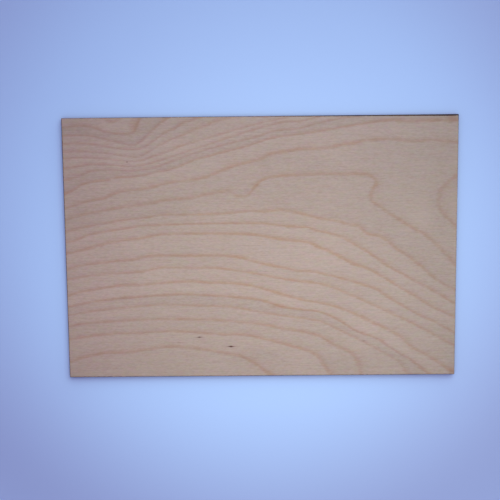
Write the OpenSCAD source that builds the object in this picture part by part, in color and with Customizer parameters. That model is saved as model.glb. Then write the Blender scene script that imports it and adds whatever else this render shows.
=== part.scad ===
// Laser-cut birch plywood sheet: one flat glued board, lying on its underside.
// The origin is the centre of the underside, X runs along the face grain, Y across it, Z is up.

/* [Sheet] */
// Length along the face grain
sheet_length = 300; // [50:1:1220]
// Width across the face grain
sheet_width = 200; // [50:1:610]
// Thickness of the whole glued board
sheet_thickness = 3; // [1.5:0.1:12]

/* [Cut edge] */
// Radius that the beam leaves at each corner, seen from above
corner_radius = 0.3; // [0.1:0.05:5]
// Radius burnt off the arris round the top face, where the beam enters
top_arris_radius = 0.3; // [0.1:0.05:0.7]
// Radius burnt off the arris round the underside, where the beam leaves
bottom_arris_radius = 0.15; // [0.05:0.05:0.7]

/* [Hidden] */
birch_colour = [0.70, 0.63, 0.60];
// How far each cutting shape runs past the board, so that no two cuts share a face
overrun = 1;
// Facets of a full circle, where one is drawn as a polygon
$fn = 64;

// What is lost when a square corner is rounded. The corner is at the origin,
// and out_x and out_y, each 1 or -1, say which way it points.
module corner_waste(radius, out_x, out_y) {
    reach = radius + overrun;
    translate([-out_x * radius, -out_y * radius])
        difference() {
            translate([out_x * reach / 2, out_y * reach / 2])
                square(reach, center = true);
            circle(radius);
        }
}

// The board's section over one span: square sides, with the burnt arrises above and below.
module board_section(span) {
    difference() {
        translate([-span / 2, 0])
            square([span, sheet_thickness]);
        for (side = [-1, 1]) {
            translate([side * span / 2, sheet_thickness])
                corner_waste(top_arris_radius, side, 1);
            translate([side * span / 2, 0])
                corner_waste(bottom_arris_radius, side, -1);
        }
    }
}

// One corner post, as high as the board and a little more, that rounds a corner of the plan.
module corner_cut(side_x, side_y) {
    translate([side_x * sheet_length / 2, side_y * sheet_width / 2, -overrun])
        linear_extrude(height = sheet_thickness + 2 * overrun)
            corner_waste(corner_radius, side_x, side_y);
}

// The whole sheet: the length's section and the width's section, each drawn through the other.
module plywood_sheet() {
    color(birch_colour)
        difference() {
            intersection() {
                rotate([90, 0, 0])
                    linear_extrude(height = sheet_width + 2 * overrun, center = true)
                        board_section(sheet_length);
                rotate([90, 0, 90])
                    linear_extrude(height = sheet_length + 2 * overrun, center = true)
                        board_section(sheet_width);
            }
            for (side_x = [-1, 1], side_y = [-1, 1])
                corner_cut(side_x, side_y);
        }
}

plywood_sheet();
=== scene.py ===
"""A laser-cut birch plywood sheet that lies flat, seen from above.

The top veneer's growth rings are lines given one by one. A thin-plate surface through them tells each point
of the face where it lies between two rings, and the veneer's material paints late and early wood from that.
"""
import math

import bpy
import numpy as np
from mathutils import Matrix, Vector
from mathutils.geometry import interpolate_bezier

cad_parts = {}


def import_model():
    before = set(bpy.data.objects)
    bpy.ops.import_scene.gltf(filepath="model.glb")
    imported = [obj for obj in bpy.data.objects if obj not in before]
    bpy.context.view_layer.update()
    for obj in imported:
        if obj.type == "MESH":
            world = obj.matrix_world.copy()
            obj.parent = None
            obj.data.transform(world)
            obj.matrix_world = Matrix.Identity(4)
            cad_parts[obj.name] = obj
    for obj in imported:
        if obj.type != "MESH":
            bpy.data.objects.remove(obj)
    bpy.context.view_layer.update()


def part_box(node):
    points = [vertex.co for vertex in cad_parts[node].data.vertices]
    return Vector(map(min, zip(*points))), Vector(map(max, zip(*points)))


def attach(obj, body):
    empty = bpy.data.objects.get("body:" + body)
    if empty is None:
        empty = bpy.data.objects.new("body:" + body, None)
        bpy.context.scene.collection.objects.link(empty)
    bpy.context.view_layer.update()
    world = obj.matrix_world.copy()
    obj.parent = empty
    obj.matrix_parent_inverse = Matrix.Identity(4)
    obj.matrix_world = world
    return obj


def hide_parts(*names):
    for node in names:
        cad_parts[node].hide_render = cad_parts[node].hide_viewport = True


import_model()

# Everything below is in millimetres, and MM turns it into the frame's metres
MM = 0.001
HALF_LENGTH, HALF_WIDTH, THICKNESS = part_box("plywood_sheet")[1] / MM

# The cut edge: radii that the beam leaves, and the glued plies with their slight relief
TOP_ARRIS = 0.3
BOTTOM_ARRIS = 0.15
ARRIS_STEPS = 4
CORNER_STEPS = 4
PLIES = 3
PLY = THICKNESS / PLIES
GLUE_HALF = 0.06
GLUE_RECESS = 0.05
CORE_RECESS = 0.03
# How the plies wander up and down along the edge: height, waves round the sheet, phase
PLY_WAVES = [(0.03, 9, 0), (0.02, 23, 1)]

# The face grid: its cells, and a narrow first cell that keeps the rounded arris from shading the flat face
CELL = 1.3
BORDER_CELL = 0.4
# Late wood stands proud: how far, how wide beside a ring's line, and the way in from the edge to full height
RAISED_GRAIN = 0.012
RAISED_GRAIN_WIDTH = 1.0
RAISED_GRAIN_FADE = 4.0

# Growth rings of the top veneer from the back edge to the front. Each has the darkness of its late wood,
# the brightness of the early wood that follows it, and the points that its line passes through
RINGS = [
    (1.0, 0.956, [(-150, 93.5), (-129, 94), (-114, 89), (-98, 88.5), (-94.5, 91), (-93, 95), (-90, 101)]),
    (1.07, 1.01, [(-150, 87), (-130, 87), (-110, 82.5), (-95.5, 79.5), (-91.5, 81.5), (-75, 96),
                  (-69, 100)]),
    (1.12, 1.012, [(-150, 81), (-130, 81), (-110, 77.5), (-94, 76.5), (-87, 78.5), (-73, 88),
                   (-65, 91.5), (-59, 95.5), (-44, 100)]),
    (0.82, 1.023, [(-150, 75), (-138, 75.5), (-115, 73.5), (-97, 70.5), (-90, 71.5), (-70, 82.5),
                   (-60, 86), (-50, 90.5), (-41, 93.5), (-35, 96.5), (-20, 100)]),
    (0.84, 1.04, [(-150, 70), (-130, 70.5), (-96, 67.5), (-88, 68.5), (-80, 71.5), (-70, 74.5),
                  (-60, 78.5), (-50, 81.5), (-10, 92.5), (22, 99.5)]),
    (0.95, 1.015, [(-150, 62.5), (-143, 63), (-133, 65), (-120, 65.5), (-97, 63.5), (-88, 64.5),
                   (-50, 76), (-20, 85.5), (0, 91.5), (20, 96), (30, 96), (38, 98), (46, 100)]),
    (0.91, 0.98, [(-150, 54), (-142, 55.5), (-127, 60.5), (-110, 61), (-98, 60.5), (-80, 62.5),
                  (-70, 66), (-40, 76), (0, 85.5), (10, 89), (30, 91), (50, 96), (76, 100)]),
    (1.13, 1.035, [(-150, 43), (-145, 45), (-134, 51), (-127, 52.5), (-116, 53.5), (-111, 55),
                   (-90, 56.5), (-80, 59), (-70, 60.5), (-60, 64), (-50, 68), (-10, 78), (10, 84),
                   (35, 87), (65, 92), (95, 96), (112, 95.5), (150, 96)]),
    (0.92, 0.995, [(-150, 32), (-130, 38), (-120, 39.5), (-112, 43), (-100, 45.5), (-86, 47), (-74, 50),
                   (-60, 52.5), (-45, 54), (-18, 64), (0, 68), (8, 72), (20, 74), (30, 75.5), (50, 76),
                   (60, 78), (70, 79.5), (80, 81.5), (100, 82), (118, 80.5), (133, 81), (150, 79)]),
    (0.87, 0.972, [(-150, 23.5), (-130, 28.5), (-100, 33.5), (-85, 35), (-74, 37.5), (-50, 39.5),
                   (-42, 42), (-24, 44.5), (-20.5, 43.5), (-17.5, 40.5), (-10, 41), (-2, 49.5), (3, 53),
                   (10, 55), (40, 56.5), (60, 56.5), (75, 56.5), (81, 56), (85, 54.5), (88, 51),
                   (89, 48.5), (87, 46), (86, 43.5), (84.5, 40), (84.5, 37.5), (87, 34.5), (110, 19),
                   (130, 6.5), (150, -14)]),
    (0.89, 0.995, [(-150, 14), (-140, 16.5), (-110, 22), (-85, 25), (-77, 26.5), (-60, 26.5),
                   (-20, 27.5), (-8, 29), (2, 28.5), (18, 29.5), (45, 23), (60, 20.5), (66, 18.5),
                   (76, 16), (82, 11), (92, 8.5), (99, 4), (105, -1.5), (115, -8), (138, -27),
                   (150, -33.5)]),
    (1.0, 1.01, [(-150, 6), (-140, 8.5), (-130, 12), (-100, 17), (-88, 18.5), (0, 19.5), (20, 17),
                 (36, 16), (43, 13.5), (56, 10.5), (66, 6.5), (75, 1), (82, -3), (100, -15.5),
                 (138, -36.5), (150, -44.5)]),
    (1.1, 1.022, [(-150, -2.5), (-140, -0.5), (-116, 5.5), (-88, 9.5), (-76, 11.5), (-40, 12), (0, 10.5),
                  (8, 8.5), (20, 6.5), (37, 4.5), (44, 1), (52, -2), (72, -12.5), (84, -17),
                  (120, -38.5), (132, -46), (150, -54.5)]),
    (1.0, 1.01, [(-150, -15), (-140, -12), (-110, -8.5), (-98, -7.5), (-86, -5), (-55, -5), (-20, -6),
                 (5, -12.5), (20, -15.5), (28, -17.5), (42, -18.5), (88, -31.5), (96, -37), (122, -52.5),
                 (136, -59), (150, -67)]),
    (0.9, 1.03, [(-150, -23), (-140, -21), (-120, -18.5), (-92, -17), (-76, -14), (-55, -14.5),
                 (-38, -14.5), (-20, -16.5), (20, -24), (42, -27), (56, -30.5), (115, -58), (150, -77)]),
    (1.02, 1.05, [(-150, -35.5), (-140, -32.5), (-108, -27.5), (-90, -27), (-70, -25.5), (-52, -25),
                  (-40, -26), (-22, -26.5), (-6, -29), (32, -40), (48, -43), (66, -48.5), (82, -56),
                  (106, -68), (118, -78.5), (130, -85), (150, -98.5)]),
    (1.27, 0.975, [(-150, -44), (-122, -39), (-62, -35), (-40, -36), (-6, -39), (8, -42.5), (16, -45.5),
                   (30, -47.5), (45, -49.5), (58, -55), (74, -65), (90, -71), (102, -79.5), (116, -88),
                   (133, -101)]),
    (0.86, 1.007, [(-150, -50.5), (-118, -46), (-75, -43), (-50, -44), (-24, -45), (8, -51), (44, -56.5),
                   (56, -61.5), (107, -89), (111, -95), (116, -101)]),
    (0.96, 0.995, [(-150, -59.5), (-140, -57.5), (-90, -54.5), (-42, -55), (-15, -57), (6, -60),
                   (16, -62.5), (32, -65), (46, -69), (58, -76), (70, -82), (75, -88), (78.5, -101)]),
    (1.0, 1.02, [(-150, -69.5), (-124, -66), (-100, -65), (-64, -64), (-30, -66.5), (-10, -67.5),
                 (28, -77.5), (40, -81.5), (46, -86.5), (50, -93), (56, -101)]),
    (0.91, 0.985, [(-150, -87), (-126, -81), (-105, -80), (-66, -76), (-20, -83), (-10, -86.5),
                   (11, -101)]),
]
BAND_BEFORE_FIRST_RING = 1.03
# Ring 8 comes back over the right edge, round a low hill in the wood, and one more ring dips in at the back
MORE_LINES = [
    (8, [(150, 53.5), (145.5, 51), (138, 43.5), (137, 38), (136, 34), (137.5, 28.5), (146.5, 19),
         (150, 16)]),
    (-1, [(-119, 101), (-111, 97.5), (-104, 101)]),
]
# Heights between the rings where the lines alone would leave the surface free: x, y, ring
LEVELS = [
    (120, 64, 8.45), (145, 66, 8.12), (100, 55, 8.7), (148, 36, 7.6), (110, 101, 6.75), (148, 101, 6.75),
    (-140, 100, -0.6), (-8, 100.5, 3.3), (95, -98, 17.5), (-140, -99, 20.5), (-100, -100, 20.65),
    (-50, -100, 20.75), (-20, -100, 20.5),
]
# The surface: the steps along its lines, its unit of length, its slack, and the places worked out at a time
LINE_STEP = 4.0
SURFACE_UNIT = 40.0
SURFACE_SLACK = 1e-4
PLACES_AT_A_TIME = 4000
# Keeps a logarithm finite at no distance
TINY = 1e-12
# Soft spots, each with x, y, half length, half width and the share that it adds or takes: where a ring's
# late wood pales or darkens, where a steep line is calmer, and where the whole veneer is lighter or darker.
# In that last list the wide lighter spot in the middle is a painted pool of light, and the darker spots at
# the corners and along the front edge are painted shade where the light falls off; the others are the
# veneer's own tone
FADES = [
    (-20, 43, 5, 4, -0.7), (88, 51, 6, 5, 0.2), (86, 42, 6, 7, -0.12), (136, 36, 8, 20, -0.3),
    (-140, -25, 25, 60, -0.1), (100, -85, 35, 16, -0.18),
]
CALMS = [(86, 46, 9, 13, -0.8), (-8, 45, 10, 8, -0.7), (-94, 95, 7, 9, -0.6)]
TONES_AND_PAINTED_LIGHT = [
    (45, -12, 170, 75, 0.055), (150, -98, 25, 14, -0.05), (-150, -98, 25, 14, -0.04),
    (148, 95, 22, 14, -0.03), (0, -86, 22, 8, -0.08), (60, -93, 25, 8, -0.05), (2, 66, 10, 6, -0.05),
    (-142, 40, 20, 14, -0.05), (-140, 96, 14, 9, -0.06), (137, 32, 10, 16, -0.075),
    (-10.8, 45.3, 2.2, 2, -0.08), (-64, 79, 18, 6, 0.05), (-107, 67, 9, 8, 0.04), (58, 75, 20, 12, 0.04),
    (-35, 30, 30, 8, 0.035), (-107, 18, 12, 7, 0.04), (-95, 3, 14, 6, 0.05), (-82, -17, 14, 10, 0.05),
    (-115, -46, 34, 8, 0.045), (50, 3, 26, 18, 0.045), (95, -45, 16, 12, 0.045), (122, 22, 14, 14, 0.05),
    (78, -75, 16, 8, 0.045), (80, -62, 12, 5, 0.03), (104, -72, 10, 6, 0.04), (18, -97, 9, 5, -0.05),
    (150, -76, 10, 22, -0.045), (150, 47, 8, 10, -0.04), (54, 39, 14, 9, 0.03), (110, -22, 12, 8, 0.025),
    (-140, 8, 14, 10, 0.025),
]
# A ring's line widens with the gap between rings, up to a limit, and where it leans across the grain
WIDEST_GAP = 40.0
USUAL_GAP = 9.0
LINE_WIDTHS = (0.85, 1.35)
LEAN_SPREAD = 0.5
# Early wood: the width of the change from band to band, its start after a ring, and what it then loses
BAND_BLEND = 1.6
EARLY_START = 1.017
EARLY_LOSS = 0.03

# The underside's plainer figure: straight rings, pushed aside by long swells: x, y, length, width, push
UNDER_RING_GAP = 11.0
UNDER_SWELLS = [
    (-60, 30, 90, 40, 16), (70, -35, 70, 35, -18), (20, 75, 120, 30, 9), (-120, -60, 60, 45, -10),
    (0, 58, 500, 14, 7), (0, 5, 500, 16, -8), (0, -62, 500, 18, 9),
]
# How its late wood and its bands change from ring to ring: mean, swing, pace
UNDER_LATE = (0.8, 0.2, 2.4)
UNDER_BANDS = (1.0, 0.025, 1.7)


def smooth_line(points):
    """Places about LINE_STEP apart on a smooth line through the points."""
    knots = [Vector((x, y, 0)) for x, y in points]
    headings = [(after - before).normalized() for before, after in zip(knots, knots[2:])]
    headings.insert(0, (knots[1] - knots[0]).normalized())
    headings.append((knots[-1] - knots[-2]).normalized())
    places = []
    for start, end, leave, arrive in zip(knots, knots[1:], headings, headings[1:]):
        span = (end - start).length
        steps = max(2, round(span / LINE_STEP))
        handles = start + leave * span / 3, end - arrive * span / 3
        places += interpolate_bezier(start, *handles, end, steps + 1)[:-1]
    places.append(knots[-1])
    return [(place.x, place.y) for place in places]


def thin_plate(squared):
    """The thin-plate kernel, from squared distances."""
    return 0.5 * squared * np.log(squared + TINY)


def squared_distances(here, there):
    """From each place here to each place there."""
    return ((here[:, None] - there[None]) ** 2).sum(-1)


def ring_surface():
    """A smooth surface whose height on each ring's line is the ring's number, as a function of places."""
    lines = [(number, smooth_line(ring[-1])) for number, ring in enumerate(RINGS)]
    lines += [(number, smooth_line(points)) for number, points in MORE_LINES]
    anchors = [(x, y, number) for number, line in lines for x, y in line] + LEVELS
    anchors = np.array(anchors, float)
    known = anchors[:, :2] / SURFACE_UNIT
    count = len(known)
    plane = np.c_[np.ones(count), known]
    bend = thin_plate(squared_distances(known, known)) + SURFACE_SLACK * np.eye(count)
    system = np.block([[bend, plane], [plane.T, np.zeros((3, 3))]])
    weights = np.linalg.solve(system, np.r_[anchors[:, 2], np.zeros(3)])

    def height(places):
        rows = []
        for part in np.array_split(places / SURFACE_UNIT, 1 + len(places) // PLACES_AT_A_TIME):
            bent = thin_plate(squared_distances(part, known)) @ weights[:count]
            rows.append(bent + np.c_[np.ones(len(part)), part] @ weights[count:])
        return np.concatenate(rows)

    return height


def under_surface(places):
    """The underside's ring heights."""
    across = places[:, 1].copy()
    for x, y, length, width, push in UNDER_SWELLS:
        away = ((places[:, 0] - x) / length) ** 2 + ((places[:, 1] - y) / width) ** 2
        across += push * np.exp(-away)
    return across / UNDER_RING_GAP


def grid_lines(half, arris):
    """Grid lines over a flat face that ends where the rounded arris begins."""
    flat = half - arris
    inner = flat - BORDER_CELL
    count = round(2 * inner / CELL)
    return np.r_[-flat, np.linspace(-inner, inner, count + 1), flat]


def figure(height, columns, rows, late, bands):
    """What the veneer's material reads at each grid point. late and bands give, for any ring number,
    the darkness of that ring and the brightness of the band after it."""
    x, y = np.meshgrid(columns, rows, indexing="ij")
    ring = height(np.c_[x.ravel(), y.ravel()]).reshape(x.shape)
    slope_x, slope_y = np.gradient(ring, columns, rows)
    gap = 1 / np.maximum(np.hypot(slope_x, slope_y), 1 / WIDEST_GAP)
    lean = slope_x * gap
    width = np.clip(np.sqrt(gap / USUAL_GAP), *LINE_WIDTHS) * (1 + LEAN_SPREAD * lean ** 2)
    nearest = np.round(ring)
    past = np.clip((ring - nearest) * gap / BAND_BLEND + 0.5, 0, 1)
    tone = bands(nearest - 1) * (1 - past) + bands(nearest) * past
    early = EARLY_START - EARLY_LOSS * (ring - np.floor(ring))
    return {"ring": ring, "gap": gap / width, "lean": lean / width, "late": late(ring), "tone": tone * early}


def spots(columns, rows, changes):
    """What the soft spots together multiply a value by at each grid point."""
    x, y = np.meshgrid(columns, rows, indexing="ij")
    share = np.ones_like(x)
    for middle_x, middle_y, long, wide, change in changes:
        share *= 1 + change * np.exp(-((x - middle_x) / long) ** 2 - ((y - middle_y) / wide) ** 2)
    return share


def top_late(ring):
    """The late wood's darkness, blended from ring to ring."""
    return np.interp(ring, range(len(RINGS)), [late for late, *_ in RINGS])


def top_bands(ring):
    """The brightness of the band after a ring."""
    tones = np.array([BAND_BEFORE_FIRST_RING] + [tone for _, tone, _ in RINGS])
    return tones[np.clip(ring.astype(int) + 1, 0, len(tones) - 1)]


def swinging(ring, mean, swing, pace):
    """A value that changes in a wave from ring to ring."""
    return mean + swing * np.sin(pace * ring)


def under_late(ring):
    return swinging(ring, *UNDER_LATE)


def under_bands(ring):
    return swinging(ring, *UNDER_BANDS)


def quarter_turn(steps):
    """The angles at which a quarter turn's steps meet."""
    return [math.radians(90) * step / steps for step in range(1, steps)]


def edge_profile():
    """The cut edge's section from the underside to the top face: outward offset from the flat top face's
    border, height, and the place among the plies, where 1 and 2 are the glue lines."""
    section = [(BOTTOM_ARRIS, 0)]
    for turn in quarter_turn(ARRIS_STEPS):
        section.append((BOTTOM_ARRIS * (1 - math.sin(turn)), BOTTOM_ARRIS * (1 - math.cos(turn))))
    section += [(0, BOTTOM_ARRIS), (0, PLY / 2)]
    for glue in (PLY, 2 * PLY):
        below, above = (0, CORE_RECESS) if glue < THICKNESS / 2 else (CORE_RECESS, 0)
        section += [(below, glue - GLUE_HALF), (GLUE_RECESS, glue), (above, glue + GLUE_HALF)]
        section.append((above, glue + PLY / 2))
    section.append((0, THICKNESS - TOP_ARRIS))
    for turn in quarter_turn(ARRIS_STEPS):
        section.append((TOP_ARRIS * (1 - math.cos(turn)), THICKNESS - TOP_ARRIS * (1 - math.sin(turn))))
    return [(TOP_ARRIS - inward, up, up / PLY) for inward, up in section]


def border_walk(columns, rows):
    """Once round the face's border: the grid point, and the way out from it. A corner turns in steps."""
    far_x, far_y = len(columns) - 1, len(rows) - 1
    sides = [
        [(i, 0) for i in range(far_x + 1)],
        [(far_x, j) for j in range(far_y + 1)],
        [(i, far_y) for i in reversed(range(far_x + 1))],
        [(0, j) for j in reversed(range(far_y + 1))],
    ]
    walk = []
    for number, side in enumerate(sides):
        facing = math.radians(90 * number - 90)
        walk += [(place, facing) for place in side]
        walk += [(side[-1], facing + turn) for turn in quarter_turn(CORNER_STEPS)]
    return walk


# Where each part of the skin lies on the map that its looks can be baked through: left, bottom, right, top
TOP_PATCH = (0.006, 0.335, 0.994, 0.994)
EDGE_PATCHES = [(0.006, 0.298, 0.994, 0.327), (0.006, 0.260, 0.994, 0.289)]
UNDER_PATCH = (0.006, 0.006, 0.994, 0.252)
# The numbers of the sheet's materials, in the order in which it gets them
TOP_VENEER, UNDER_VENEER, CUT_EDGE = range(3)

# How far the beam has browned the face in from each edge, at points along the edge
BACK_BURN = [(-150, 0.22), (0, 0.3), (45, 0.62), (110, 0.88), (150, 1.3)]
FRONT_BURN = [(-150, 0.4), (150, 0.35)]
LEFT_BURN = [(-100, 0.35), (100, 0.4)]
RIGHT_BURN = [(-100, 0.12), (95, 0.12), (100, 0.5)]
# Near a corner the two edges' widths merge over about this distance
BURN_MERGE = 0.5


def in_patch(patch, across, up):
    """Map places from shares of a patch's width and height."""
    left, bottom, right, top = patch
    return np.stack([left + (right - left) * across, bottom + (top - bottom) * up], -1)


def burn_width(x, y):
    """The browned rim's width at a point, from the edges it is near."""
    edges = [
        (HALF_WIDTH - y, np.interp(x, *zip(*BACK_BURN))),
        (HALF_WIDTH + y, np.interp(x, *zip(*FRONT_BURN))),
        (HALF_LENGTH + x, np.interp(y, *zip(*LEFT_BURN))),
        (HALF_LENGTH - x, np.interp(y, *zip(*RIGHT_BURN))),
    ]
    nearness = [1 / (np.abs(away) + BURN_MERGE) ** 2 for away, _ in edges]
    return sum(near * width for near, (_, width) in zip(nearness, edges)) / sum(nearness)


def grid_quads(shape):
    """The cells of a grid of points, each anticlockwise seen from above."""
    number = np.arange(shape[0] * shape[1]).reshape(shape)
    corners = [number[:-1, :-1], number[1:, :-1], number[1:, 1:], number[:-1, 1:]]
    return np.stack(corners, -1).reshape(-1, 4)


def flat_points(x, y, top):
    """The points of the top face, with its late wood standing proud, and then those of the underside."""
    inset = np.minimum(HALF_LENGTH - np.abs(x), HALF_WIDTH - np.abs(y))
    from_line = np.abs(top["ring"] - np.round(top["ring"])) * top["gap"]
    raised = np.exp(-from_line / RAISED_GRAIN_WIDTH)
    sunk = RAISED_GRAIN * (1 - raised) * np.clip(inset / RAISED_GRAIN_FADE, 0, 1)
    upper = np.stack([x, y, THICKNESS - sunk], -1)
    lower = np.stack([x, y, np.zeros_like(x)], -1)
    return np.concatenate([upper.reshape(-1, 3), lower.reshape(-1, 3)])


def flat_faces(x, y):
    """The faces of the top face and the underside, their corners' map places and their material numbers."""
    across = (x + HALF_LENGTH) / (2 * HALF_LENGTH)
    up = (y + HALF_WIDTH) / (2 * HALF_WIDTH)
    upper = grid_quads(x.shape)
    lower = upper[:, ::-1]
    upper_map = in_patch(TOP_PATCH, across, up).reshape(-1, 2)
    lower_map = in_patch(UNDER_PATCH, up, across).reshape(-1, 2)
    faces = upper.tolist() + (lower + x.size).tolist()
    places = [upper_map[upper].reshape(-1, 2), lower_map[lower].reshape(-1, 2)]
    return faces, places, [TOP_VENEER] * len(upper) + [UNDER_VENEER] * len(lower)


def edge_points(columns, rows, walk, profile):
    """The cut edge's points, a column of them for each step of the walk, and how far round each lies."""
    border = np.array([(columns[i], rows[j]) for (i, j), _ in walk])
    facing = np.array([angle for _, angle in walk])
    out = np.c_[np.cos(facing), np.sin(facing)]
    rim = border + out * TOP_ARRIS
    round_trip = np.r_[0, np.cumsum(np.linalg.norm(np.diff(rim, axis=0, append=rim[:1]), axis=1))]
    turn = 2 * math.pi * round_trip[:-1] / round_trip[-1]
    wander = sum(height * np.sin(waves * turn + phase) for height, waves, phase in PLY_WAVES)
    points = []
    for offset, up, _ in profile:
        swell = math.sin(math.pi * up / THICKNESS)
        points.append(np.c_[border + out * offset, up + wander * swell])
    return np.stack(points, 1), round_trip


def edge_material(height):
    """The material number at a height on the cut edge, whose rounded arrises belong to the veneers."""
    if height > THICKNESS - TOP_ARRIS:
        return TOP_VENEER
    return UNDER_VENEER if height < BOTTOM_ARRIS else CUT_EDGE


def edge_faces(chains, round_trip, profile):
    """The cut edge's faces, their corners' map places and their material numbers. A chain holds the numbers
    of the points from the underside up to the top face."""
    heights = np.array([0] + [up for _, up, _ in profile] + [THICKNESS])
    offsets = np.array([0] + [offset for offset, _, _ in profile] + [0])
    climb = np.r_[0, np.cumsum(np.hypot(np.diff(heights), np.diff(offsets)))]
    climb /= climb[-1]
    half_trip = round_trip[-1] / 2
    faces, places, materials = [], [], []
    for here in range(len(chains)):
        there = (here + 1) % len(chains)
        strip = int(round_trip[here] > half_trip - BORDER_CELL / 2)
        start, end = round_trip[here:here + 2] / half_trip - strip
        for low, high in zip(range(len(climb)), range(1, len(climb))):
            corners = [(here, low), (there, low), (there, high), (here, high)]
            shares = [(start, climb[low]), (end, climb[low]), (end, climb[high]), (start, climb[high])]
            # Where the walk turns a corner, two of the four are one point, which a dictionary holds once
            face = {int(chains[corner]): share for corner, share in zip(corners, shares)}
            faces.append(list(face))
            places.append(in_patch(EDGE_PATCHES[strip], *np.array(list(face.values())).T))
            materials.append(edge_material((heights[low] + heights[high]) / 2))
    return faces, places, materials


def point_values(points, border, profile, top, under):
    """What the materials read at each point of the top face, the underside and the cut edge."""
    values = {}
    upper = np.array([up > THICKNESS / 2 for _, up, _ in profile])
    for name in top:
        on_top, on_under = top[name].ravel(), under[name].ravel()
        on_edge = np.where(upper, on_top[border][:, None], on_under[border][:, None])
        values[name] = np.concatenate([on_top, on_under, on_edge.ravel()])
    values["burn"] = burn_width(points[:, 0], points[:, 1])
    ply = np.tile([ply for _, _, ply in profile], len(border))
    values["ply"] = np.concatenate([np.repeat([PLIES, 0], top["ring"].size), ply])
    return values


def sheet_skin(columns, rows, top, under):
    """The sheet as one closed skin: points, faces, a map place for each face corner, a material number for
    each face, and the values that the materials read at each point."""
    x, y = np.meshgrid(columns, rows, indexing="ij")
    walk = border_walk(columns, rows)
    profile = edge_profile()
    edge, round_trip = edge_points(columns, rows, walk, profile)
    points = np.concatenate([flat_points(x, y, top), edge.reshape(-1, 3)])
    border = np.array([i * len(rows) + j for (i, j), _ in walk])
    own = 2 * x.size + np.arange(len(walk) * len(profile)).reshape(len(walk), len(profile))
    chains = np.c_[border + x.size, own, border]
    cut = edge_faces(chains, round_trip, profile)
    faces, places, materials = (flat + more for flat, more in zip(flat_faces(x, y), cut))
    values = point_values(points, border, profile, top, under)
    return points, faces, np.concatenate(places), materials, values


def sheet_piece(name):
    """The sheet's mesh object, with its figure, its map and no materials yet."""
    columns = grid_lines(HALF_LENGTH, TOP_ARRIS)
    rows = grid_lines(HALF_WIDTH, TOP_ARRIS)
    top = figure(ring_surface(), columns, rows, top_late, top_bands)
    top["late"] *= spots(columns, rows, FADES)
    calm = spots(columns, rows, CALMS)
    top["lean"] *= calm
    top["gap"] /= np.sqrt(calm)
    # Painted light and shade go into the tone here: a lighter middle and darker corners and front edge,
    # besides the veneer's own patches
    top["tone"] *= spots(columns, rows, TONES_AND_PAINTED_LIGHT)
    under = figure(under_surface, columns, rows, under_late, under_bands)
    points, faces, places, materials, values = sheet_skin(columns, rows, top, under)
    mesh = bpy.data.meshes.new(name)
    mesh.from_pydata((points * MM).tolist(), [], faces)
    mesh.polygons.foreach_set("material_index", materials)
    mesh.shade_smooth()
    for value_name, value in values.items():
        attribute = mesh.attributes.new(value_name, "FLOAT", "POINT")
        attribute.data.foreach_set("value", value.astype(np.float32))
    bake_map = mesh.uv_layers.new(name="OFBake")
    bake_map.uv.foreach_set("vector", places.astype(np.float32).ravel())
    piece = bpy.data.objects.new(name, mesh)
    bpy.context.scene.collection.objects.link(piece)
    return piece


# Bare wood has less sheen than a polished surface
MATTE = 0.2
# Between these values lies nearly all of the raw noise
NOISE_RANGE = (0.25, 0.75)
# Detail of the noise that makes fine grain
FINE = 3
WHITE = (1, 1, 1)
BLACK = (0, 0, 0)


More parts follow.
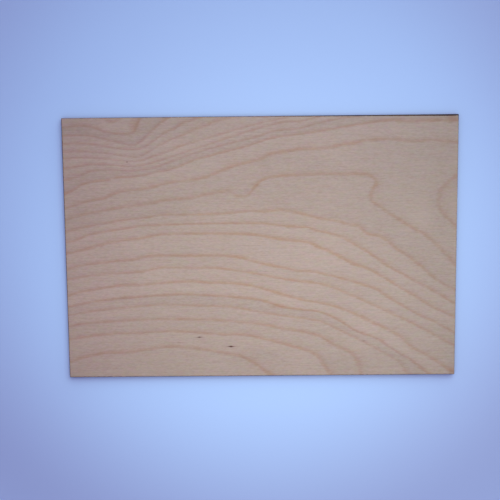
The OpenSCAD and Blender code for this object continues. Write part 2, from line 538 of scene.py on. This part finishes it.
class Shader:
    """One material's nodes. What a method returns can be fed to the next."""

    def __init__(self, name):
        self.material = bpy.data.materials.new(name)
        self.material.use_nodes = True
        self.tree = self.material.node_tree
        self.surface = self.tree.nodes["Principled BSDF"]
        place = self.add("ShaderNodeTexCoord", {}, "Object")
        self.place = self.vector("MULTIPLY", place, (1 / MM,) * 3)
        split = self.tree.nodes.new("ShaderNodeSeparateXYZ")
        self.feed(split.inputs[0], self.place)
        self.x, self.y, _ = split.outputs

    def feed(self, socket, value):
        """Links a node's output to the socket, or sets a plain value. A colour needs no alpha."""
        if isinstance(value, bpy.types.NodeSocket):
            self.tree.links.new(value, socket)
        elif socket.type == "RGBA":
            socket.default_value = (*value, 1)
        else:
            socket.default_value = value

    def add(self, kind, inputs, output=0, **settings):
        """A new node, with its settings made and its inputs fed."""
        node = self.tree.nodes.new(kind)
        for name, value in settings.items():
            setattr(node, name, value)
        for socket, value in inputs.items():
            self.feed(node.inputs[socket], value)
        return node.outputs[output]

    def value(self, name):
        """What the mesh holds at its points under that name."""
        return self.add("ShaderNodeAttribute", {}, "Fac", attribute_name=name)

    def math(self, operation, *values):
        return self.add("ShaderNodeMath", dict(enumerate(values)), operation=operation)

    def vector(self, operation, *values):
        return self.add("ShaderNodeVectorMath", dict(enumerate(values)), operation=operation)

    def span(self, value, start, end, low=0.0, high=1.0, course="SMOOTHSTEP"):
        """Runs from low to high as the value goes from start to end."""
        inputs = {"Value": value, "From Min": start, "From Max": end, "To Min": low, "To Max": high}
        return self.add("ShaderNodeMapRange", inputs, interpolation_type=course)

    def noise(self, size, low, high, detail=2.0):
        """Noise from about low to high, with features of the given size along X, Y and Z."""
        scaled = self.vector("DIVIDE", self.place, size)
        raw = self.add("ShaderNodeTexNoise", {"Vector": scaled, "Scale": 1.0, "Detail": detail})
        return self.span(raw, *NOISE_RANGE, low, high, "LINEAR")

    def ramp(self, value, stops):
        """Follows straight lines between the stops, which are places from 0 to 1 with a height each."""
        node = self.tree.nodes.new("ShaderNodeValToRGB")
        elements = node.color_ramp.elements
        elements.remove(elements[1])
        for number, (place, height) in enumerate(stops):
            element = elements.new(place) if number else elements[0]
            element.position = place
            element.color = (height, height, height, 1)
        self.feed(node.inputs[0], value)
        return node.outputs[0]

    def mix(self, amount, low, high):
        """Goes from the low colour to the high one, through the sockets that the node keeps for colours."""
        return self.add("ShaderNodeMix", {0: amount, 6: low, 7: high}, 2, data_type="RGBA")

    def scale(self, colour, amount):
        """Multiplies the colour by a number or by another colour."""
        return self.vector("MULTIPLY", colour, amount)

    def shade(self, colour, amount, tint):
        """Multiplies the colour by the tint, as far as the amount says."""
        return self.scale(colour, self.mix(amount, WHITE, tint))

    def finish(self, colour, roughness, height, depth):
        """Feeds the surface, with a relief of the given depth, and returns the material."""
        bump = {"Height": height, "Strength": 1.0, "Distance": depth * MM}
        self.feed(self.surface.inputs["Base Color"], colour)
        self.feed(self.surface.inputs["Roughness"], roughness)
        self.feed(self.surface.inputs["Specular IOR Level"], MATTE)
        self.feed(self.surface.inputs["Normal"], self.add("ShaderNodeBump", bump))
        return self.material


# Colours as the wood reflects them, and tints that darken it
EARLY_WOOD = (0.475, 0.383, 0.359)
LATE_TINT = (0.93, 0.808, 0.745)
WARM_LATE_TINT = (0.934, 0.81, 0.692)
CLOSE_LATE_TINT = (0.925, 0.81, 0.805)
SCORCH_TINT = (0.8, 0.6, 0.5)
CHAR = (0.03, 0.009, 0.008)
PIN_KNOT = (0.085, 0.014, 0.013)
# The grain along X, finest last: size of its features, and the share by which it lightens and darkens
CLOUDS = ((60, 22, 22), 0.015)
FIBRES = ((16, 0.7, 0.7), 0.065)
FLECKS = ((2.5, 0.68, 0.68), 0.09)
# Soft patches of hue: size, tint
MOTTLES = [((5, 2, 2), (1.02, 0.91, 0.94)), ((4, 2.2, 2.2), (0.965, 1.01, 0.86))]
# Rings that lie close together have a greyer late wood: the gap where that starts, and where it is full
CLOSE_GAPS = (8.5, 5.5)
# Around the sheet's middle the late wood is warmer: x, y, half length, half width
WARM_MIDDLE = (22, 0, 125, 120)
# Where that starts, and where it is full, as shares of its reach
WARM_REACH = (1.0, 0.3)
# Late wood across a ring: distance from the ring's line, darkness
LATE_REACH = 4.0
LATE_PROFILE = [
    (-3.7, 0), (-2.7, 0.05), (-1.8, 0.13), (-0.9, 0.36), (-0.2, 0.82), (0.3, 1), (0.75, 0.82),
    (1.25, 0.3), (1.8, 0),
]
# What makes a ring's line uneven: it strays, its darkness changes, and fibres carry it along the grain
LINE_STRAY = ((6, 1.6, 1.6), 0.3)
LATE_CHANGE = ((13, 5, 5), 0.55, 1.3)
FEATHER = ((7, 0.5, 0.5), 1.7)
# Dark pin knots on the top face: x, y, half length, half width, darkness
PIN_KNOTS = [
    (-48.2, -69, 3.2, 1.0, 0.75), (-23.7, -76.5, 4, 1.1, 1.0), (-101, 66.7, 1.3, 1.0, 0.5),
    (79.5, -73, 3, 0.9, 0.3), (-64, -73.2, 7, 0.6, 0.14),
]
# Each has a core, and fainter tails along the grain: share of its length, width and darkness
KNOT_PARTS = [(1.0, 1.0, 1.0), (2.4, 0.7, 0.4)]
# Hues that the top face takes on along an axis: its number, where that starts and is full, tint
HUES = [
    (0, -60, -150, (1.03, 0.965, 1.01)), (0, -60, 150, (0.98, 1.0, 1.0)), (1, 20, 100, (1.01, 1.0, 1.03)),
]
# Soft brown patches of spread late wood or of scorch: x, y, half length, half width, darkness, tint
SMUDGES = [
    (-95, 94, 6, 8, 0.7, LATE_TINT), (-4, 47.5, 6, 5, 0.35, LATE_TINT),
    (13, -45, 11, 3.5, 0.7, LATE_TINT), (142, 45.5, 5, 2.5, 0.35, LATE_TINT),
    (145, 97, 7, 4.5, 0.45, SCORCH_TINT), (148, -97, 5, 4, 0.4, SCORCH_TINT),
]
# Where a knot or a brown patch starts, and where it is full, as shares of its reach
SPOT_REACH = (1.0, 0.1)
# The browned rim: how far its line strays, and where char starts and is full, as shares of the rim's width
RIM_STRAY = ((1.5, 1.5, 1.5), 0.12)
RIM_CHAR = (1.25, 0.75)
# A faint scorch reaches farther in
SCORCH_REACH = 2.0
SCORCH_SHARE = 0.12
# The veneer's roughness, and what fibres add to it
VENEER_ROUGHNESS = 0.56
FIBRE_ROUGHNESS = 0.12
# The depth of its relief, and the shares that fibres and late wood have in that
VENEER_RELIEF = 0.03
FIBRE_RELIEF = 0.6
LATE_RELIEF = 0.4


def oval(shader, x, y, long, wide):
    """Distance from a point, as a share of an oval's reach."""
    away = shader.vector("SUBTRACT", shader.place, (x, y, 0))
    scaled = shader.vector("MULTIPLY", away, (1 / long, 1 / wide, 0))
    return shader.add("ShaderNodeVectorMath", {0: scaled}, "Value", operation="LENGTH")


def spindle(shader, x, y, long, wide):
    """Distance from a point, as a share of the reach of a shape with pointed ends."""
    along = shader.math("ABSOLUTE", shader.math("SUBTRACT", shader.x, x))
    across = shader.math("ABSOLUTE", shader.math("SUBTRACT", shader.y, y))
    return shader.math("ADD", shader.math("DIVIDE", along, long), shader.math("DIVIDE", across, wide))


def late_wood(shader):
    """How dark the nearest ring makes a point."""
    ring = shader.value("ring")
    past = shader.math("SUBTRACT", ring, shader.math("ROUND", ring))
    away = shader.math("MULTIPLY", past, shader.value("gap"))
    size, reach = FEATHER
    feather = shader.math("MULTIPLY", shader.value("lean"), shader.noise(size, -reach, reach))
    size, reach = LINE_STRAY
    uneven = shader.math("ADD", feather, shader.noise(size, -reach, reach))
    from_start = shader.math("ADD", shader.math("ADD", away, uneven), LATE_REACH)
    stops = [((distance + LATE_REACH) / (2 * LATE_REACH), height) for distance, height in LATE_PROFILE]
    dark = shader.ramp(shader.math("DIVIDE", from_start, 2 * LATE_REACH), stops)
    strength = shader.math("MULTIPLY", shader.value("late"), shader.noise(*LATE_CHANGE))
    return shader.math("MULTIPLY", dark, strength)


def edge_distances(shader):
    """Distances in from the nearest end and from the nearest side, seen from above."""
    from_end = shader.math("SUBTRACT", HALF_LENGTH, shader.math("ABSOLUTE", shader.x))
    from_side = shader.math("SUBTRACT", HALF_WIDTH, shader.math("ABSOLUTE", shader.y))
    return from_end, from_side


def wood_colour(shader, late):
    """Early wood with its rings, its grain and soft patches of hue."""
    # On the top face the tone carries painted light and shade as well as the wood's own bands and patches
    colour = shader.scale(EARLY_WOOD, shader.value("tone"))
    for size, share in (CLOUDS, FIBRES, FLECKS):
        colour = shader.scale(colour, shader.noise(size, 1 - share, 1 + share, FINE))
    for size, tint in MOTTLES:
        colour = shader.shade(colour, shader.noise(size, 0, 1), tint)
    close = shader.span(shader.value("gap"), *CLOSE_GAPS)
    warm = shader.span(oval(shader, *WARM_MIDDLE), *WARM_REACH)
    tint = shader.mix(close, LATE_TINT, CLOSE_LATE_TINT)
    tint = shader.mix(warm, tint, WARM_LATE_TINT)
    return shader.shade(colour, late, tint)


def top_marks(shader, colour):
    """What only the top face has: changes of hue, brown patches and pin knots."""
    for axis, start, full, tint in HUES:
        colour = shader.shade(colour, shader.span((shader.x, shader.y)[axis], start, full), tint)
    for *place, dark, tint in SMUDGES:
        colour = shader.shade(colour, shader.span(oval(shader, *place), *SPOT_REACH, 0, dark), tint)
    for x, y, long, wide, dark in PIN_KNOTS:
        for longer, wider, darker in KNOT_PARTS:
            away = spindle(shader, x, y, long * longer, wide * wider)
            colour = shader.mix(shader.span(away, *SPOT_REACH, 0, dark * darker), colour, PIN_KNOT)
    return colour


def browned_rim(shader, colour):
    """The colour, browned and then charred towards the cut edge."""
    size, reach = RIM_STRAY
    inward = shader.math("MINIMUM", *edge_distances(shader))
    inward = shader.math("ADD", inward, shader.noise(size, -reach, reach))
    burnt = shader.span(shader.math("DIVIDE", inward, shader.value("burn")), *RIM_CHAR)
    colour = shader.shade(colour, shader.span(inward, SCORCH_REACH, 0, 0, SCORCH_SHARE), SCORCH_TINT)
    return shader.mix(burnt, colour, CHAR)


def veneer(name, marks=None):
    """Birch face veneer."""
    shader = Shader(name)
    late = late_wood(shader)
    colour = wood_colour(shader, late)
    if marks:
        colour = marks(shader, colour)
    colour = browned_rim(shader, colour)
    fibres = shader.noise(FIBRES[0], 0, 1, FINE)
    roughness = shader.math("MULTIPLY_ADD", fibres, FIBRE_ROUGHNESS, VENEER_ROUGHNESS)
    late_height = shader.math("MULTIPLY", late, LATE_RELIEF)
    height = shader.math("MULTIPLY_ADD", fibres, FIBRE_RELIEF, late_height)
    return shader.finish(colour, roughness, height, VENEER_RELIEF)


# The cut edge's browns: long grain, end grain and glue
LONG_GRAIN = (0.16, 0.088, 0.048)
END_GRAIN = (0.07, 0.039, 0.025)
GLUE = (0.022, 0.014, 0.011)
# What makes them uneven: size of the features, and the shares from one end of their range to the other
STREAKS = ((0.35, 0.35, 5), 0.7, 1.25)
EDGE_FIBRES = ((6, 6, 0.15), 1.0, 0.92)
BLOTCHES = ((12, 12, 3), 0.75, 1.3)
# A glue line: where it starts and where it is full, in plies from its middle, and its strength
GLUE_REACH = (0.07, 0.03)
GLUE_SHARE = 0.85
# The streaks' range of roughness and their depth
EDGE_ROUGHNESS = (0.45, 0.65)
EDGE_RELIEF = 0.05


def burnt_edge(name):
    """The beam's brown cut through three crossed plies. The core's grain crosses that of the outer plies."""
    shader = Shader(name)
    ply = shader.value("ply")
    from_middle = shader.math("ABSOLUTE", shader.math("SUBTRACT", ply, PLIES / 2))
    core = shader.math("LESS_THAN", from_middle, 0.5)
    on_end = shader.math("LESS_THAN", *edge_distances(shader))
    end_grain = shader.math("ABSOLUTE", shader.math("SUBTRACT", core, on_end))
    colour = shader.mix(end_grain, LONG_GRAIN, END_GRAIN)
    size, *shares = STREAKS
    streaks = shader.noise(size, 0, 1, FINE)
    colour = shader.scale(colour, shader.span(streaks, 0, 1, *shares))
    size, *shares = EDGE_FIBRES
    colour = shader.scale(colour, shader.span(shader.noise(size, 0, 1), 0, 1, *shares))
    colour = shader.scale(colour, shader.noise(*BLOTCHES))
    from_glue = shader.math("ABSOLUTE", shader.math("SUBTRACT", ply, shader.math("ROUND", ply)))
    colour = shader.mix(shader.span(from_glue, *GLUE_REACH, 0, GLUE_SHARE), colour, GLUE)
    roughness = shader.span(streaks, 0, 1, *EDGE_ROUGHNESS)
    return shader.finish(colour, roughness, streaks, EDGE_RELIEF)


# The stage: the floor's colour, which darkens from its middle outwards as painted shade of the light's
# fall-off, and a faint painted glow, light that only camera and gloss rays see, which makes it paler and
# bluer
FLOOR_COLOUR = (0.475, 0.745, 1.0)
FLOOR_RIM_IN_PAINTED_SHADE = (0.405, 0.58, 0.755)
FLOOR_MIDDLE = (-15, 40)
FLOOR_FADE = (150, 290)
FLOOR_PAINTED_GLOW = (0.05, 0.01, 0.2)
FLOOR_ROUGHNESS = 0.85
FLOOR_GRAIN = (3, 3, 3)
FLOOR_RELIEF = 0.01
# Close to the sheet less of the room's light gets down to the floor, and there its colour and glow are
# darkened as painted contact shade
CONTACT_REACH = 25
PAINTED_CONTACT_SHADE = (0.5, 0.42, 0.32)
# Farther out the floor runs into the backdrop
FLOOR_END = (265, 430)
FLOOR_SIZE = 4000
BACKDROP_COLOUR = (0.38, 0.5, 0.85)
# The lamps, the even light all round and the camera
AMBIENT = 0.08
TO_THE_BACK = (0, 1, 0)
UPWARDS = (0, 0, 1)
OVERHEAD = {
    "place": (21, -38, 294), "aim": (21, -38, 0), "up": TO_THE_BACK, "shape": "ELLIPSE",
    "wide": 400, "tall": 400, "spread": 90, "watts": 0.2347, "colour": (1.035, 1.0, 0.98),
}
WINDOW = {
    "place": (1025, 2425, 1438), "aim": (0, 0, 0), "up": UPWARDS, "shape": "RECTANGLE",
    "wide": 4500, "tall": 2400, "spread": 180, "watts": 88.0, "colour": (0.93, 1.0, 1.05),
}
CAMERA_PLACE = (-4.2, 48.7, 538)
CAMERA_AIM = (-8.2, -1.3, 3)
CAMERA_UP = (0.01, 1, 0)
CAMERA_LENS = 50.4


def stand(ob, place, aim, up):
    """Puts a lamp or the camera at a place, looking at another, with its top in the direction given."""
    forward = (Vector(aim) - Vector(place)).normalized()
    right = forward.cross(Vector(up)).normalized()
    turned = Matrix((right, right.cross(forward), -forward)).transposed().to_4x4()
    ob.matrix_world = Matrix.Translation(Vector(place) * MM) @ turned
    bpy.context.scene.collection.objects.link(ob)
    return ob


def lamp(name, place, aim, up, shape, wide, tall, spread, watts, colour):
    """A soft lamp that lights the scene and isn't seen in it."""
    light = bpy.data.lights.new(name, "AREA")
    light.shape = shape
    light.size = wide * MM
    light.size_y = tall * MM
    light.spread = math.radians(spread)
    light.energy = watts
    light.color = colour
    ob = stand(bpy.data.objects.new(name, light), place, aim, up)
    ob.visible_camera = False


def background_rays(tree):
    """1 for rays that show the background itself: the camera's, and those that gloss or glass sends on."""
    path = tree.nodes.new("ShaderNodeLightPath")
    rays = path.outputs["Is Camera Ray"]
    for kind in ("Is Glossy Ray", "Is Transmission Ray"):
        either = tree.nodes.new("ShaderNodeMath")
        either.operation = "MAXIMUM"
        tree.links.new(rays, either.inputs[0])
        tree.links.new(path.outputs[kind], either.inputs[1])
        rays = either.outputs[0]
    return rays


def floor_material():
    """Pale and matte, with painted contact shade close to the sheet, painted shade towards its rim and a
    painted glow, and running into the backdrop's colour far out.
    """
    shader = Shader("floor")
    from_middle = oval(shader, *FLOOR_MIDDLE, 1, 1)
    far = shader.span(from_middle, *FLOOR_END)
    # Painted contact shade: the floor is darker where the sheet hides the room above it
    open_above = shader.add("ShaderNodeAmbientOcclusion", {"Distance": CONTACT_REACH * MM}, "AO")
    painted_contact_shade = shader.math("SUBTRACT", 1.0, open_above)
    # Painted shade: the floor's colour darkens from its middle outwards where the light falls off
    colour = shader.mix(shader.span(from_middle, *FLOOR_FADE), FLOOR_COLOUR, FLOOR_RIM_IN_PAINTED_SHADE)
    colour = shader.shade(shader.mix(far, colour, BLACK), painted_contact_shade, PAINTED_CONTACT_SHADE)
    # Painted light: a glow that only camera and gloss rays see
    glow = shader.shade(shader.mix(far, FLOOR_PAINTED_GLOW, BACKDROP_COLOUR), painted_contact_shade, PAINTED_CONTACT_SHADE)
    shader.feed(shader.surface.inputs["Emission Color"], glow)
    shader.feed(shader.surface.inputs["Emission Strength"], background_rays(shader.tree))
    return shader.finish(colour, FLOOR_ROUGHNESS, shader.noise(FLOOR_GRAIN, 0, 1), FLOOR_RELIEF)


def floor():
    """A plain pale floor under the sheet."""
    half = FLOOR_SIZE / 2 * MM
    corners = [(-half, -half, 0), (half, -half, 0), (half, half, 0), (-half, half, 0)]
    mesh = bpy.data.meshes.new("floor")
    mesh.from_pydata(corners, [], [(0, 1, 2, 3)])
    mesh.materials.append(floor_material())
    ob = bpy.data.objects.new("floor", mesh)
    bpy.context.scene.collection.objects.link(ob)


def world():
    """A low even light all round, with a pale backdrop where the camera sees past the floor."""
    surroundings = bpy.data.worlds.new("surroundings")
    bpy.context.scene.world = surroundings
    surroundings.use_nodes = True
    tree = surroundings.node_tree
    even = tree.nodes["Background"]
    even.inputs["Color"].default_value = (AMBIENT, AMBIENT, AMBIENT, 1)
    backdrop = tree.nodes.new("ShaderNodeBackground")
    backdrop.inputs["Color"].default_value = (*BACKDROP_COLOUR, 1)
    chosen = tree.nodes.new("ShaderNodeMixShader")
    tree.links.new(background_rays(tree), chosen.inputs[0])
    tree.links.new(even.outputs[0], chosen.inputs[1])
    tree.links.new(backdrop.outputs[0], chosen.inputs[2])
    tree.links.new(chosen.outputs[0], tree.nodes["World Output"].inputs["Surface"])


def stage():
    """The floor, the light and the camera."""
    floor()
    world()
    lamp("overhead", **OVERHEAD)
    lamp("window", **WINDOW)
    camera = bpy.data.cameras.new("camera")
    camera.lens = CAMERA_LENS
    viewer = bpy.data.objects.new("camera", camera)
    bpy.context.scene.camera = stand(viewer, CAMERA_PLACE, CAMERA_AIM, CAMERA_UP)
    bpy.context.scene.view_settings.view_transform = "Standard"


sheet = sheet_piece("birch_ply_sheet")
sheet.data.materials.append(veneer("top_veneer", top_marks))
sheet.data.materials.append(veneer("under_veneer"))
sheet.data.materials.append(burnt_edge("burnt_edge"))
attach(sheet, "root")
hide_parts("plywood_sheet")
stage()
